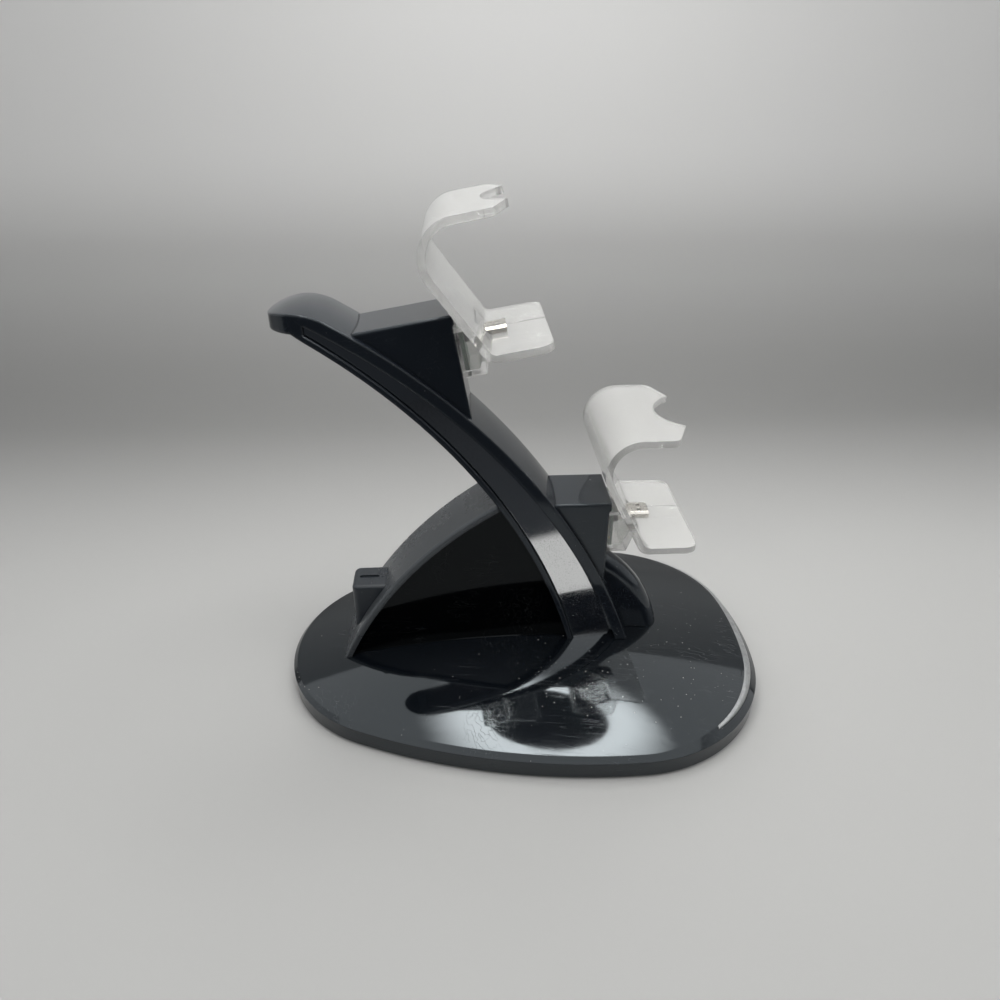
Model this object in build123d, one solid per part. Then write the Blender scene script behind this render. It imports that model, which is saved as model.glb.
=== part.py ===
"""Charging dock for two game controllers.

A pick-shaped base with a crowned top carries a curved arm. An arched fin braces the arm behind and a small leg
braces it in front. Two clear cradles stand on wedge blocks along the arm, each with a charging plug.
Millimetres, +Z up, +X to the front, +Y to the left. The origin is under the middle of the base, on the table.
"""
import os
from math import atan2, copysign, cos, degrees, hypot, radians, sin, sqrt, tan

from build123d import *

# Base, seen from above
BASE_LENGTH = 155.0
BASE_WIDTH = 108.4
BASE_REAR_RADIUS = 41.3
BASE_SIDE_RADIUS = 191.0
BASE_CORNER_RADIUS = 46.7
BASE_FRONT_RADIUS = 97.2

# Base, seen from the side
BASE_LIFT = 0.8            # gap between the table and the shell's lower edge
BASE_WALL_HEIGHT = 6.0     # top of the upright wall
BASE_CROWN_FOOT = 7.0      # height at which the crowned top would meet the wall
BASE_CROWN = 10.0          # rise of the crown
BASE_SHELL_WALL = 2.0
RIM_SLOPE = 45.0           # slope of the rim bevel and of the light window

# The crown is drawn on a longer plan, so the rim bevel widens into a crescent at the front
CROWN_REACH = 17.5
CROWN_CORNER_EXTRA = 5.8   # crown's corner radius beyond half the base's width
CROWN_FRONT_RADIUS = 40.0
CROWN_RINGS = (1.0, 0.92, 0.8, 0.64, 0.46, 0.3, 0.18)

# Base cover, feet and screws
COVER_THICKNESS = 1.8
COVER_LIFT = 1.2           # height of the cover's underside above the table
COVER_GAP = 0.3
FOOT_DIAMETER = 10.0
FOOT_SINK = 0.6            # depth of the foot's seat in the cover
FOOT_SETBACK = 31.5        # middle of a foot, in from the base's ends
FOOT_FRONT_Y = 36.0
FOOT_REAR_Y = 26.0
SCREW_X = 30.0
SCREW_Y = 27.0
SCREW_SHANK = 2.4
SCREW_HEAD = 5.0
SCREW_HEAD_HEIGHT = 1.0
SCREW_LENGTH = 7.0
SCREW_CROSS_LENGTH = 3.0
SCREW_CROSS_WIDTH = 0.7
SCREW_PLAY = 0.3
BOSS_DIAMETER = 7.0

# Crescent light window in the front bevel
WINDOW_SINK = 0.6          # depth of the window's seat below the bevel
WINDOW_MARGIN = 2.0        # band of rim left outside the window
WINDOW_DROP = 0.2          # depth of its upper edge below the crown
WINDOW_SLOPE = 32.0
WINDOW_EDGE_HEIGHT = 7.7   # where the window's face would meet the wall
WINDOW_RIM_SLOPE = 62.0    # steeper band along its outer edge
WINDOW_STEP = 0.3          # height of its outer edge above the rim
WINDOW_LENGTH = 22.4       # room for the crescent, back from the front of the base
WINDOW_PLAY = 0.1
LIGHT_BOARD_SETBACK = 13.5  # back of the board, in from the front of the base
LIGHT_BOARD_WIDTH = 44.0
LIGHT_BOARD_HEIGHT = 4.2
BOARD_THICKNESS = 1.2
LED_COUNT = 3
LED_SPACING = 15.0
LED_SIZE = 2.2
LED_LENS_FOOT = 2.0
LED_LENS_TIP = 1.1
LED_LENS_LENGTH = 0.7

# Main board inside the base
MAIN_BOARD_LENGTH = 46.0
MAIN_BOARD_WIDTH = 22.0
MAIN_BOARD_X = -12.0
BOARD_POST_HEIGHT = 1.6
BOARD_POST_DIAMETER = 4.0
CHIP_SIZE = 6.0
CHIP_HEIGHT = 1.6
CHIP_SPACING = 12.0

# Arm, seen from the side
ARM_TIP_X = -69.2
ARM_TOP_JOIN_X = -53.0     # where the upper arc runs into the rounded nose
ARM_TOP_JOIN_Z = 122.2
ARM_UNDER_JOIN_X = -62.0   # where the lower arc runs into the nose's flat underside
ARM_NOSE_UNDER = 119.3
ARM_NOSE_RADIUS = 16.0
ARM_FOOT_X = 36.2          # front of the foot, at the height of the base wall
ARM_FOOT_DEPTH = 19.8
ARM_TOP_RADIUS = 194.6
ARM_UNDER_RADIUS = 177.6

# Arm, across
ARM_WIDTH = 23.0
ARM_CROWN = 0.6
ARM_TIP_FLAT = 0.6         # left between the rounded corners of the tip
ARM_UPPER_RIM = 3.4        # band above the trim strip
ARM_LOWER_RIM = 1.6        # band below it
ARM_SIDE_WALL = 5.5        # from the arm's side to its hollow
ARM_SKIN = 2.4
UNDER_COVER_THICKNESS = 1.6
UNDER_COVER_STEP = 3.5     # from the arm's side to the seat of its lower cover
UNDER_COVER_PLAY = 0.2
UNDER_COVER_TIP_GAP = 14.0  # solid length left at the arm's tip
TRIM_TILT = 10.0           # the strips lean in towards the top of the arm
TRIM_SINK = 0.3            # strip's lower edge below the arm's side
TRIM_THICKNESS = 0.8
TRIM_BEVEL = 0.35
TRIM_BACK_PLAY = 0.3
TRIM_PLAY = 0.15
TRIM_TIP_GAP = 10.6

# Leads inside
LEAD_WIDTH = 2.0
LEAD_THICKNESS = 1.0
LEAD_OFFSET = 1.4          # middle of each arm lead from the middle of the arm
LEAD_PLAY = 0.3
LEAD_LAP = 3.0             # length of a lead's end on its board
LEAD_HOLE_WIDTH = 6.0
LEAD_HOLE_TALL = 7.3
LEAD_TURN_W = -19.7        # height at which a lead enters its block, from the block's top
LEAD_RISER_U = -4.0        # back of the lead's upright run inside a block
LEAD_END_W = -11.0         # height at which it meets the plug's board
LIGHT_LEAD_Y = 7.0
POWER_LEAD_RUN = 7.1       # from the socket's back to the lead's upright run

# Fin behind the arm
FIN_STEP = 0.75            # fin's side, in from the arm's side
FIN_RADIUS = 122.2
FIN_CENTRE_X = 52.5
FIN_CENTRE_Z = -38.8
FIN_SPINE_THICKNESS = 2.0
FIN_SPINE_BEVEL = 0.5
FIN_PANEL_INSET = 1.5
FIN_PANEL_THICKNESS = 2.0

# Power inlet on the back of the fin
INLET_REAR_X = -55.2
INLET_TOP = 35.7
INLET_WIDTH = 11.5
INLET_ROUND = 2.0
INLET_TOP_ROUND = 1.2
INLET_GROOVE_LENGTH = 6.5
INLET_GROOVE_WIDTH = 1.5
INLET_GROOVE_DEPTH = 0.7
SOCKET_HEIGHT = 29.5       # height of the socket's middle
SOCKET_WIDTH = 7.5
SOCKET_TALL = 2.9
SOCKET_DEPTH = 5.6
SOCKET_SHEET = 0.4
SOCKET_PLAY = 0.1
INLET_HOLE_LENGTH = 11.6   # from the housing's rear face through the fin's spine
TONGUE_WIDTH = 4.0
TONGUE_THICKNESS = 0.7
TONGUE_LENGTH = 3.9

# Leg in front of the arm
LEG_WIDTH = 9.5
LEG_TOP_X = 25.5
LEG_TOP_Z = 44.0
LEG_TOE_X = 44.8
LEG_TOE_Z = 17.0
LEG_RADIUS = 44.0
LEG_ROUND = 4.2
LEG_CORE = 4.0             # inner radius of the leg's section, buried in the arm

# Blocks: each stands on the arm where its front face meets the arm's upper rim
LOWER_FOOT_X = 24.6
LOWER_TILT = 0.0
UPPER_FOOT_X = -15.9
UPPER_TILT = 10.0
LOWER_BLOCK_HEIGHT = 28.8
UPPER_BLOCK_HEIGHT = 29.8
BLOCK_STEP = 1.75          # block's side, in from the arm's side
BLOCK_LIP = 0.6
BLOCK_LIP_HEIGHT = 2.4
BLOCK_WALL = 1.8
BLOCK_EDGE_ROUND = 0.5
BLOCK_WINDOW_WIDTH = 8.0

# Cradle, in the frame of its block: u forward of the block's front face, w up from its top
CRADLE_WIDTH = 42.0
CRADLE_SHEET = 2.0
CRADLE_FOLD_U = 9.1
CRADLE_FOLD_W = -8.9
CRADLE_LEAN = 27.0
CRADLE_FOLD_ROUND = 2.0
TRAY_LENGTH = 15.8
TRAY_CORNER = 4.0
CRADLE_GAP = 32.4          # clear height between tray and hook
HOOK_RADIUS = 10.0
HOOK_SIDE_REACH = 6.1      # hook's front edge at its sides, forward of the fold
HOOK_PRONG_REACH = 10.2
HOOK_PRONG_SPREAD = 22.0
HOOK_NOTCH_DEPTH = 6.4
HOOK_SPLIT_W = 8.0         # height that divides hook and tray outlines
HOOK_CORNER = 3.0
POCKET_WIDTH = 16.0
POCKET_TOP = -4.0
POCKET_BOTTOM = -18.0
POCKET_TOE = 6.5
POCKET_WALL = 1.6

# Charging plug, in the same frame
PLUG_RISE = 1.0            # middle of the plug above the tray
PLUG_WIDTH = 6.85
PLUG_TOP_WIDTH = 5.3
PLUG_TALL = 1.85
PLUG_SHEET = 0.3
PLUG_REACH = 13.9          # tip of the plug, forward of the block
PLUG_PLAY = 0.2
PLUG_CORE_WIDTH = 4.2
PLUG_CORE_TALL = 0.65
PLUG_CORE_SETBACK = 0.5
PLUG_SHOULDER = 0.28       # where the plug starts to narrow, above its middle
LATCH_LENGTH = 1.3         # windows for the two latches on top of the plug
LATCH_WIDTH = 0.8
LATCH_SETBACK = 2.2
LATCH_SPREAD = 2.6
COLLAR_WIDTH = 8.6
COLLAR_TALL = 2.4
COLLAR_LENGTH = 1.8
PLUG_BOARD_U = 0.9
PLUG_BOARD_WIDTH = 12.4

FAR = 400.0
OVERCUT = 1.0              # cutters run past the faces they open by this much


def unit(x, y):
    """A vector of length one along (x, y)."""
    length = hypot(x, y)
    return x / length, y / length


def circle_meet(c0, r0, c1, r1, side):
    """The point where two circles cross, on the left (+1) or right (-1) of the line between their centres."""
    gap = hypot(c1[0] - c0[0], c1[1] - c0[1])
    ex, ey = unit(c1[0] - c0[0], c1[1] - c0[1])
    along = (r0 ** 2 - r1 ** 2 + gap ** 2) / (2 * gap)
    out = side * sqrt(r0 ** 2 - along ** 2)
    return c0[0] + along * ex - out * ey, c0[1] + along * ey + out * ex


def arc_centre(start, end, radius):
    """Centre of the arc from start to end, on the right of the way from start to end."""
    half = hypot(end[0] - start[0], end[1] - start[1]) / 2
    ex, ey = unit(end[0] - start[0], end[1] - start[1])
    back = sqrt(radius ** 2 - half ** 2)
    return (start[0] + end[0]) / 2 + back * ey, (start[1] + end[1]) / 2 - back * ex


REAR_CENTRE = (BASE_REAR_RADIUS - BASE_LENGTH / 2, 0.0)


def base_plan():
    """Centres and radii of the rear, side, corner and front arcs of the base."""
    front = (BASE_LENGTH / 2 - BASE_FRONT_RADIUS, 0.0)
    corner_y = BASE_WIDTH / 2 - BASE_CORNER_RADIUS
    corner_x = front[0] + sqrt((BASE_FRONT_RADIUS - BASE_CORNER_RADIUS) ** 2 - corner_y ** 2)
    corner = (corner_x, corner_y)
    side = circle_meet(REAR_CENTRE, BASE_SIDE_RADIUS - BASE_REAR_RADIUS,
                       corner, BASE_SIDE_RADIUS - BASE_CORNER_RADIUS, -1)
    return (REAR_CENTRE, BASE_REAR_RADIUS), (side, BASE_SIDE_RADIUS), (corner, BASE_CORNER_RADIUS), \
        (front, BASE_FRONT_RADIUS)


def crown_plan():
    """The same sides, run on to a longer front for the crown."""
    rear, side, _, _ = base_plan()
    front = (BASE_LENGTH / 2 + CROWN_REACH - CROWN_FRONT_RADIUS, 0.0)
    corner_radius = BASE_WIDTH / 2 + CROWN_CORNER_EXTRA
    corner = circle_meet(side[0], side[1] - corner_radius, front, corner_radius - CROWN_FRONT_RADIUS, 1)
    return rear, side, (corner, corner_radius), (front, CROWN_FRONT_RADIUS)


def ring(plan, inset=0.0, scale=1.0, height=0.0):
    """A face bounded by the plan's tangent arcs, drawn in by inset and scaled about the origin."""
    (rear, rear_r), (side, side_r), (corner, corner_r), (front, front_r) = plan
    to_rear = unit(rear[0] - side[0], rear[1] - side[1])
    to_corner = unit(corner[0] - side[0], corner[1] - side[1])
    sense = copysign(1, front_r - corner_r)
    to_front = unit(sense * (corner[0] - front[0]), sense * (corner[1] - front[1]))

    def on(centre, radius, way):
        x, y = way
        reach = radius - inset
        return scale * (centre[0] + reach * x), scale * (centre[1] + reach * y)

    def between(a, b):
        return unit(a[0] + b[0], a[1] + b[1])

    half = [on(rear, rear_r, to_rear), on(side, side_r, between(to_rear, to_corner)),
            on(corner, corner_r, to_corner), on(corner, corner_r, between(to_corner, to_front)),
            on(front, front_r, to_front)]
    other = [(x, -y) for x, y in half]
    edges = [ThreePointArc(other[0], on(rear, rear_r, (-1, 0)), half[0]),
             ThreePointArc(*half[0:3]),
             ThreePointArc(*half[2:5]),
             ThreePointArc(half[4], on(front, front_r, (1, 0)), other[4]),
             ThreePointArc(other[4], other[3], other[2]),
             ThreePointArc(other[2], other[1], other[0])]
    return Pos(0, 0, height) * make_face(edges)


def crown_body(inset=0.0, drop=0.0):
    """The crowned top as a smooth loft of ever smaller rings."""
    rings = [ring(crown_plan(), inset, scale, BASE_CROWN_FOOT - drop + BASE_CROWN * (1 - scale ** 2))
             for scale in CROWN_RINGS]
    skirt = extrude(ring(crown_plan(), inset), BASE_CROWN_FOOT - drop)
    return skirt + loft(rings)


def under_slope(inset, height, slope):
    """Everything inside the upright wall and under a slope that starts on the wall at a height."""
    rise = 1.5 * BASE_CROWN
    wall = extrude(ring(base_plan(), inset), height)
    roof = loft([ring(base_plan(), inset, 1.0, height),
                 ring(base_plan(), inset + rise / tan(radians(slope)), 1.0, height + rise)], ruled=True)
    return wall + roof


def bevel_body(inset=0.0, drop=0.0):
    """Everything inside the wall and under the rim bevel."""
    return under_slope(inset, BASE_WALL_HEIGHT - drop, RIM_SLOPE)


def base_form(inset=0.0, drop=0.0):
    """The outer form of the base, or the form drawn in and lowered for its hollow."""
    return crown_body(inset, drop) & bevel_body(inset, drop)


BASE = base_form()


def block(x0, x1, y0, y1, z0, z1):
    """A box between two corners."""
    return Pos((x0 + x1) / 2, (y0 + y1) / 2, (z0 + z1) / 2) * Box(x1 - x0, y1 - y0, z1 - z0)


def rod(x, y, z0, z1, diameter):
    """An upright cylinder."""
    return Pos(x, y, z0) * Cylinder(diameter / 2, z1 - z0, align=(Align.CENTER, Align.CENTER, Align.MIN))


def side_face(edges):
    """A face in the XZ plane from edges drawn in (x, z)."""
    return Plane.XZ * make_face(edges)


def slab(face, width, middle=0.0):
    """A side face made solid, width across, about the plane y = middle."""
    return Pos(0, middle, 0) * extrude(face, width / 2, both=True)


def disc(centre, radius):
    """A round face in the XZ plane."""
    return Plane.XZ * (Pos(*centre) * Circle(radius))


def side_box(x0, x1, z0, z1):
    """A rectangular face in the XZ plane."""
    return Plane.XZ * (Pos((x0 + x1) / 2, (z0 + z1) / 2) * Rectangle(x1 - x0, z1 - z0))


def wheel(centre, radius, width, crown, inner=0.0):
    """A solid of revolution about a line along Y: a wide wheel whose rim is crowned across its width."""
    half = width / 2
    rim = ThreePointArc((radius, -half), (radius + crown, 0), (radius, half))
    section = make_face([rim, Line((radius, half), (inner, half)), Line((inner, half), (inner, -half)),
                         Line((inner, -half), (radius, -half))])
    turned = revolve(section, Axis.Y)
    return Pos(centre[0], 0, centre[1]) * turned


# Driving points and widths of the arm, worked out from its sizes
ARM_FOOT_Z = BASE_WALL_HEIGHT
ARM_HOLLOW_WIDTH = ARM_WIDTH - 2 * ARM_SIDE_WALL
UNDER_COVER_WIDTH = ARM_WIDTH - 2 * UNDER_COVER_STEP
FIN_WIDTH = ARM_WIDTH - 2 * FIN_STEP
BLOCK_WIDTH = ARM_WIDTH - 2 * BLOCK_STEP
ARM_UNDER_FOOT = (ARM_FOOT_X - ARM_FOOT_DEPTH, ARM_FOOT_Z)
TOP_JOIN = (ARM_TOP_JOIN_X, ARM_TOP_JOIN_Z)
TOP_CENTRE = arc_centre(TOP_JOIN, (ARM_FOOT_X, ARM_FOOT_Z), ARM_TOP_RADIUS)
UNDER_CENTRE = arc_centre((ARM_UNDER_JOIN_X, ARM_NOSE_UNDER), ARM_UNDER_FOOT, ARM_UNDER_RADIUS)
NOSE_SHARE = 1 - ARM_NOSE_RADIUS / ARM_TOP_RADIUS
NOSE_CENTRE = tuple(c + NOSE_SHARE * (j - c) for c, j in zip(TOP_CENTRE, TOP_JOIN))
FIN_CENTRE = (FIN_CENTRE_X, FIN_CENTRE_Z)


def tip_side():
    """The side view of everything beyond the line where the upper arc runs into the nose."""
    turn = degrees(atan2(TOP_JOIN[1] - TOP_CENTRE[1], TOP_JOIN[0] - TOP_CENTRE[0]))
    half = Rectangle(2 * FAR, FAR, align=(Align.CENTER, Align.MIN))
    return Plane.XZ * (Pos(*TOP_JOIN) * Rot(0, 0, turn) * half)


def arm_band(upper=0.0, lower=0.0, tip=0.0):
    """The arm's side view, drawn in from its upper and lower arcs and from its tip."""
    band = disc(TOP_CENTRE, ARM_TOP_RADIUS - upper) - disc(UNDER_CENTRE, ARM_UNDER_RADIUS + lower)
    return band & side_box(ARM_TIP_X + tip, FAR, ARM_FOOT_Z, FAR)


def arm_nose(grow=0.0):
    """The side view of the rounded nose beyond the upper arc, flat below."""
    below = disc(UNDER_CENTRE, ARM_UNDER_RADIUS) & side_box(-FAR, FAR, -FAR, ARM_NOSE_UNDER)
    return (disc(NOSE_CENTRE, ARM_NOSE_RADIUS + grow) & tip_side()) - below


def arm_form():
    """The arm's outer form: a curved band with a crowned top and a rounded nose."""
    room = 2 * ARM_CROWN
    band = slab(arm_band(upper=-room) - tip_side(), ARM_WIDTH)
    nose = slab(arm_nose(room), ARM_WIDTH)
    crowned = (band & wheel(TOP_CENTRE, ARM_TOP_RADIUS, ARM_WIDTH, ARM_CROWN, ARM_TOP_RADIUS / 2)) \
        + (nose & wheel(NOSE_CENTRE, ARM_NOSE_RADIUS, ARM_WIDTH, ARM_CROWN))
    plan = Pos(ARM_TIP_X + FAR / 2, 0, 0) * Box(FAR, ARM_WIDTH, FAR)
    plan = fillet(plan.edges().filter_by(Axis.Z).group_by(Axis.X)[0], (ARM_WIDTH - ARM_TIP_FLAT) / 2)
    return crowned & plan


ARM = arm_form()


def arm_mid_disc():
    """A round face whose edge runs along the middle of the arm's thickness."""
    centre = tuple((a + b) / 2 for a, b in zip(TOP_CENTRE, UNDER_CENTRE))
    return disc(centre, (ARM_TOP_RADIUS + ARM_UNDER_RADIUS) / 2)


def under_disc(play=0.0):
    """The side view of everything below the arm."""
    return disc(UNDER_CENTRE, ARM_UNDER_RADIUS - play)


def arm_top(x):
    """Height of the arm's upper rim above x."""
    return TOP_CENTRE[1] + sqrt(ARM_TOP_RADIUS ** 2 - (x - TOP_CENTRE[0]) ** 2)


class Station:
    """Where a block and its cradle stand: the block's top front edge, tilted back about Y."""

    def __init__(self, foot_x, height, tilt):
        self.height = height
        self.tilt = tilt
        self.x = foot_x - height * sin(radians(tilt))
        self.z = arm_top(foot_x) + height * cos(radians(tilt))

    def place(self, shape):
        return Pos(self.x, 0, self.z) * Rot(0, -self.tilt, 0) * shape


LOWER = Station(LOWER_FOOT_X, LOWER_BLOCK_HEIGHT, LOWER_TILT)
UPPER = Station(UPPER_FOOT_X, UPPER_BLOCK_HEIGHT, UPPER_TILT)


# Base pieces

def screw_spots():
    return [(x, y) for x in (-SCREW_X, SCREW_X) for y in (-SCREW_Y, SCREW_Y)]


def foot_spots():
    x = BASE_LENGTH / 2 - FOOT_SETBACK
    return [(x, FOOT_FRONT_Y), (x, -FOOT_FRONT_Y), (-x, FOOT_REAR_Y), (-x, -FOOT_REAR_Y)]


COVER_TOP = COVER_LIFT + COVER_THICKNESS


def window_body(play=0.0, lift=0.0):
    """The crescent let into the front bevel: a sloped face with a steeper band along its outer edge."""
    steeper = tan(radians(WINDOW_RIM_SLOPE)) - tan(radians(RIM_SLOPE))
    rim_foot = BASE_WALL_HEIGHT + WINDOW_STEP - WINDOW_MARGIN * steeper
    face = under_slope(0, WINDOW_EDGE_HEIGHT + lift, WINDOW_SLOPE)
    rim = under_slope(0, rim_foot + lift, WINDOW_RIM_SLOPE)
    zone = extrude(ring(base_plan(), WINDOW_MARGIN - play), FAR)
    zone &= block(BASE_LENGTH / 2 - WINDOW_LENGTH - play, FAR, -FAR, FAR, BASE_WALL_HEIGHT, FAR)
    seat = bevel_body(inset=WINDOW_SINK / sin(radians(RIM_SLOPE)))
    return (face & rim & crown_body(drop=WINDOW_DROP - play) & zone) - seat


def base_shell():
    shell = BASE - base_form(BASE_SHELL_WALL, BASE_SHELL_WALL)
    for x, y in screw_spots():
        shell += rod(x, y, COVER_TOP, FAR, BOSS_DIAMETER) & BASE
        shell -= rod(x, y, 0, COVER_TOP + SCREW_LENGTH, SCREW_SHANK + 2 * SCREW_PLAY)
    shell -= window_body(WINDOW_PLAY, BASE_CROWN)
    shell -= slab(lead_ribbon(LEAD_PLAY), 2 * LEAD_OFFSET + LEAD_WIDTH + 2 * LEAD_PLAY)
    shell -= power_lead_riser(LEAD_PLAY)
    shell -= block(-FAR, FAR, -FAR, FAR, -FAR, BASE_LIFT)
    return shell


def base_cover():
    cover = extrude(ring(base_plan(), BASE_SHELL_WALL + COVER_GAP, 1.0, COVER_LIFT), COVER_THICKNESS)
    for x, y in foot_spots():
        cover -= rod(x, y, 0, COVER_LIFT + FOOT_SINK, FOOT_DIAMETER + 2 * SCREW_PLAY)
    for x, y in screw_spots():
        cover -= rod(x, y, 0, FAR, SCREW_SHANK + 2 * SCREW_PLAY)
        cover -= rod(x, y, 0, COVER_LIFT + SCREW_HEAD_HEIGHT, SCREW_HEAD + 2 * SCREW_PLAY)
    for x, y in board_posts():
        cover += rod(x, y, COVER_TOP, COVER_TOP + BOARD_POST_HEIGHT, BOARD_POST_DIAMETER)
    return cover


def rubber_feet():
    pads = [rod(x, y, 0, COVER_LIFT + FOOT_SINK, FOOT_DIAMETER) for x, y in foot_spots()]
    return Compound(children=[chamfer(p.faces().sort_by(Axis.Z)[0].edges(), FOOT_SINK / 2) for p in pads])


def base_screws():
    screws = []
    for x, y in screw_spots():
        head_top = COVER_LIFT + SCREW_HEAD_HEIGHT
        head = rod(x, y, COVER_LIFT, head_top, SCREW_HEAD)
        head -= Pos(x, y, COVER_LIFT) * (Box(SCREW_CROSS_LENGTH, SCREW_CROSS_WIDTH, SCREW_HEAD_HEIGHT)
                                         + Box(SCREW_CROSS_WIDTH, SCREW_CROSS_LENGTH, SCREW_HEAD_HEIGHT))
        screws.append(head + rod(x, y, head_top, head_top + SCREW_LENGTH, SCREW_SHANK))
    return Compound(children=screws)


def light_window():
    return window_body()


LIGHT_BOARD_X = BASE_LENGTH / 2 - LIGHT_BOARD_SETBACK


def light_board():
    return block(LIGHT_BOARD_X, LIGHT_BOARD_X + BOARD_THICKNESS, -LIGHT_BOARD_WIDTH / 2, LIGHT_BOARD_WIDTH / 2,
                 COVER_TOP, COVER_TOP + LIGHT_BOARD_HEIGHT)


def light_leds():
    face_x = LIGHT_BOARD_X + BOARD_THICKNESS
    middle = COVER_TOP + LIGHT_BOARD_HEIGHT / 2
    leds = []
    for i in range(LED_COUNT):
        y = (i - (LED_COUNT - 1) / 2) * LED_SPACING
        body = block(face_x, face_x + LED_SIZE / 2, y - LED_SIZE / 2, y + LED_SIZE / 2,
                     middle - LED_SIZE / 2, middle + LED_SIZE / 2)
        lens = Pos(face_x + LED_SIZE / 2, y, middle) * Rot(0, 90, 0) * Cone(
            LED_LENS_FOOT / 2, LED_LENS_TIP / 2, LED_LENS_LENGTH, align=(Align.CENTER, Align.CENTER, Align.MIN))
        leds.append(body + lens)
    return Compound(children=leds)


def board_posts():
    reach = MAIN_BOARD_LENGTH / 2 - BOARD_POST_DIAMETER / 2
    across = MAIN_BOARD_WIDTH / 2 - BOARD_POST_DIAMETER / 2
    return [(MAIN_BOARD_X + i * reach, j * across) for i in (-1, 1) for j in (-1, 1)]


MAIN_BOARD_Z = COVER_TOP + BOARD_POST_HEIGHT
MAIN_BOARD_TOP = MAIN_BOARD_Z + BOARD_THICKNESS
MAIN_BOARD_FRONT = MAIN_BOARD_X + MAIN_BOARD_LENGTH / 2
MAIN_BOARD_REAR = MAIN_BOARD_X - MAIN_BOARD_LENGTH / 2


def main_board():
    return block(MAIN_BOARD_REAR, MAIN_BOARD_FRONT, -MAIN_BOARD_WIDTH / 2, MAIN_BOARD_WIDTH / 2,
                 MAIN_BOARD_Z, MAIN_BOARD_TOP)


def board_chips():
    chips = []
    for i in (-1, 0, 1):
        x = MAIN_BOARD_X + i * CHIP_SPACING
        chips.append(block(x - CHIP_SIZE / 2, x + CHIP_SIZE / 2, -CHIP_SIZE / 2, CHIP_SIZE / 2,
                           MAIN_BOARD_TOP, MAIN_BOARD_TOP + CHIP_HEIGHT))
    return Compound(children=chips)


# Arm pieces

TRIM_BACK = ARM_WIDTH / 2 - TRIM_SINK - TRIM_THICKNESS


def leaning_ring(sense, inner, outer):
    """A ring about the lower arc's centre between two faces that lean in as they rise from the lower arc."""
    low = ARM_UNDER_RADIUS
    high = low + 2 * ARM_FOOT_DEPTH
    lean = (high - low) * tan(radians(TRIM_TILT))
    section = Polyline((low, sense * inner), (high, sense * (inner - lean)), (high, sense * (outer - lean)),
                       (low, sense * outer), close=True)
    return Pos(UNDER_CENTRE[0], 0, UNDER_CENTRE[1]) * revolve(make_face(section), Axis.Y)


def arm_shell():
    shell = ARM - BASE
    shell -= slab(arm_band(ARM_SKIN, -OVERCUT, UNDER_COVER_TIP_GAP), ARM_HOLLOW_WIDTH)
    cover_seat = arm_band(0, -OVERCUT, UNDER_COVER_TIP_GAP)
    cover_seat &= disc(UNDER_CENTRE, ARM_UNDER_RADIUS + UNDER_COVER_THICKNESS)
    shell -= slab(cover_seat, UNDER_COVER_WIDTH)
    recess = slab(arm_band(ARM_UPPER_RIM, ARM_LOWER_RIM, TRIM_TIP_GAP), 2 * ARM_WIDTH)
    for sense in (-1, 1):
        shell -= recess & leaning_ring(sense, TRIM_BACK - TRIM_BACK_PLAY, 2 * ARM_WIDTH)
    for station in (LOWER, UPPER):
        hole = block(-2 * station.height, -BLOCK_WALL, -LEAD_HOLE_WIDTH / 2, LEAD_HOLE_WIDTH / 2,
                     LEAD_TURN_W - LEAD_HOLE_TALL / 2, LEAD_TURN_W + LEAD_HOLE_TALL / 2)
        shell -= station.place(hole) & slab(arm_band(-2 * ARM_CROWN, ARM_SKIN), ARM_WIDTH)
    return shell


def arm_under_cover():
    strip = arm_band(0, 0, UNDER_COVER_TIP_GAP + UNDER_COVER_PLAY)
    strip &= disc(UNDER_CENTRE, ARM_UNDER_RADIUS + UNDER_COVER_THICKNESS)
    strip -= disc(FIN_CENTRE, FIN_RADIUS + UNDER_COVER_PLAY)
    return slab(strip, UNDER_COVER_WIDTH - 2 * UNDER_COVER_PLAY)


def arm_trim(sense):
    strip = arm_band(ARM_UPPER_RIM + TRIM_PLAY, ARM_LOWER_RIM + TRIM_PLAY, TRIM_TIP_GAP + TRIM_PLAY)
    trim = slab(strip, 2 * ARM_WIDTH) & leaning_ring(sense, TRIM_BACK, TRIM_BACK + TRIM_THICKNESS)
    shown = max(trim.faces(), key=lambda f: sense * f.center().Y)
    trim = chamfer(shown.edges().sort_by(SortBy.LENGTH)[-2:], TRIM_BEVEL)
    return trim - BASE


# Fin and inlet

def fin_side(radius):
    """The fin's side view inside a radius, below the arm."""
    return disc(FIN_CENTRE, radius) & under_disc() & side_box(-FAR, FIN_CENTRE[0], ARM_FOOT_Z, FAR)


def fin_spine():
    spine = slab(fin_side(FIN_RADIUS) - disc(FIN_CENTRE, FIN_RADIUS - FIN_SPINE_THICKNESS), FIN_WIDTH)
    arcs = spine.edges().filter_by(GeomType.CIRCLE)
    outer = [e for e in arcs if e.radius > FIN_RADIUS - FIN_SPINE_THICKNESS / 2]
    spine = chamfer(outer, FIN_SPINE_BEVEL)
    return spine - BASE - socket_block(SOCKET_PLAY, INLET_HOLE_LENGTH)


def fin_panel(sense):
    face = fin_side(FIN_RADIUS - FIN_SPINE_THICKNESS)
    middle = FIN_WIDTH / 2 - FIN_PANEL_INSET - FIN_PANEL_THICKNESS / 2
    return slab(face, FIN_PANEL_THICKNESS, sense * middle) - BASE


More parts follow.
